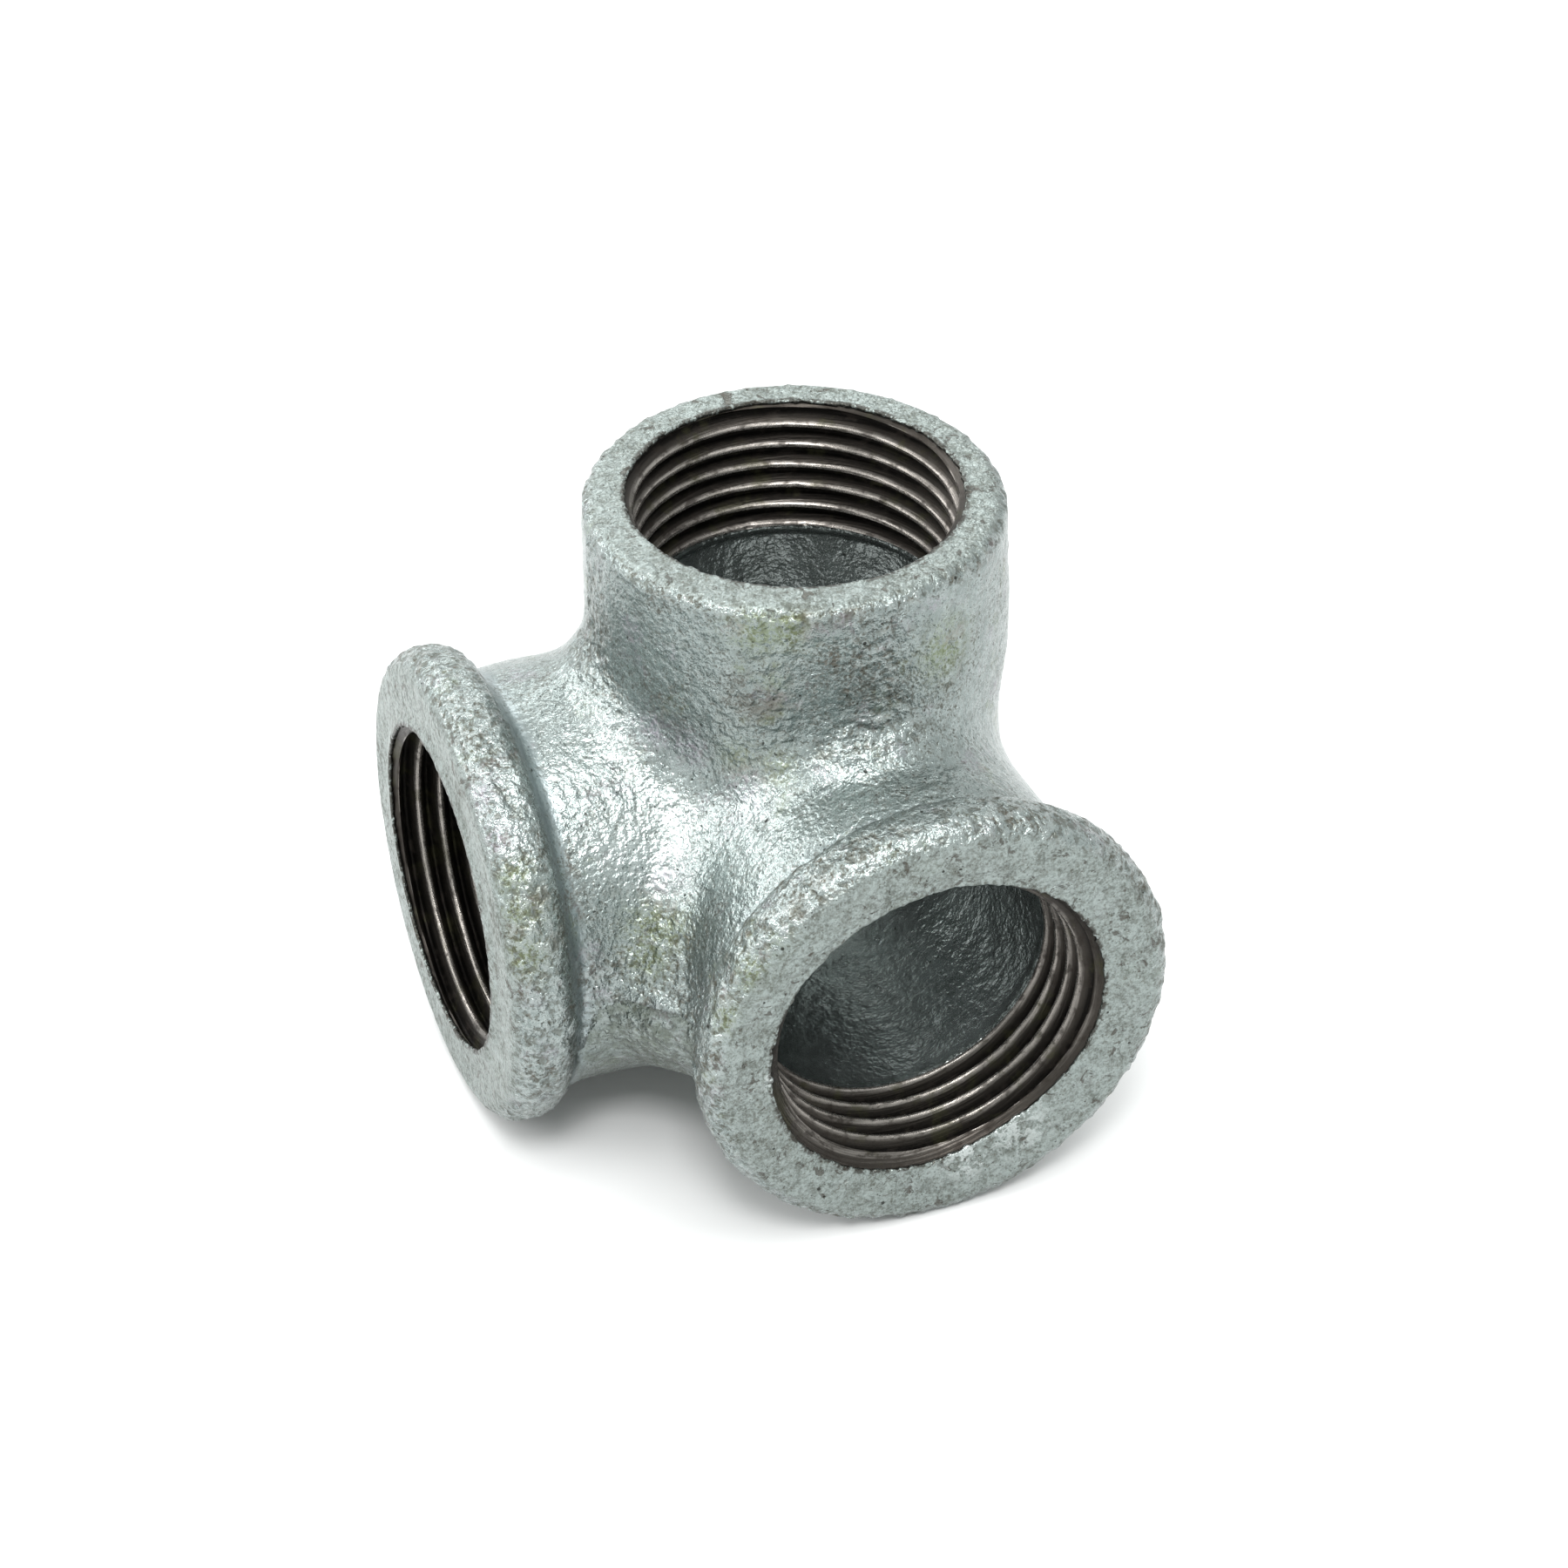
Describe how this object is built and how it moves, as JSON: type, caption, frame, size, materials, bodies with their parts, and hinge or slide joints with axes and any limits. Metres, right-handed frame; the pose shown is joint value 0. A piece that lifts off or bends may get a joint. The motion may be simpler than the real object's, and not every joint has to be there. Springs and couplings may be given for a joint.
{
  "type": "side outlet elbow",
  "caption": "Three-way corner pipe fitting: three threaded ports at right angles on one hollow galvanised casting, two of them with a raised bead, one plain.",
  "frame": {"origin": "on the floor plane, under the middle of the bounding box", "axes": "+Z out of the top port, -X out of the left port, -Y out of the front port; the three port axes cross at (0.00695, 0.00695, 0.0241)"},
  "size_m": [0.0622, 0.0622, 0.0621],
  "materials": {
    "galvanised_zinc": "hot-dip galvanised malleable iron: pale blue-grey zinc, hammered orange-peel surface with bright glints, grey-brown mottling and small dark pits",
    "bare_cut_iron": "thread cut into bare iron after galvanising: dark oily brown-black with thin bright polished ridges"
  },
  "bodies": {
    "root": {"casting": "galvanised_zinc", "top_thread": "bare_cut_iron", "left_thread": "bare_cut_iron", "front_thread": "bare_cut_iron"}
  },
  "joints": []
}
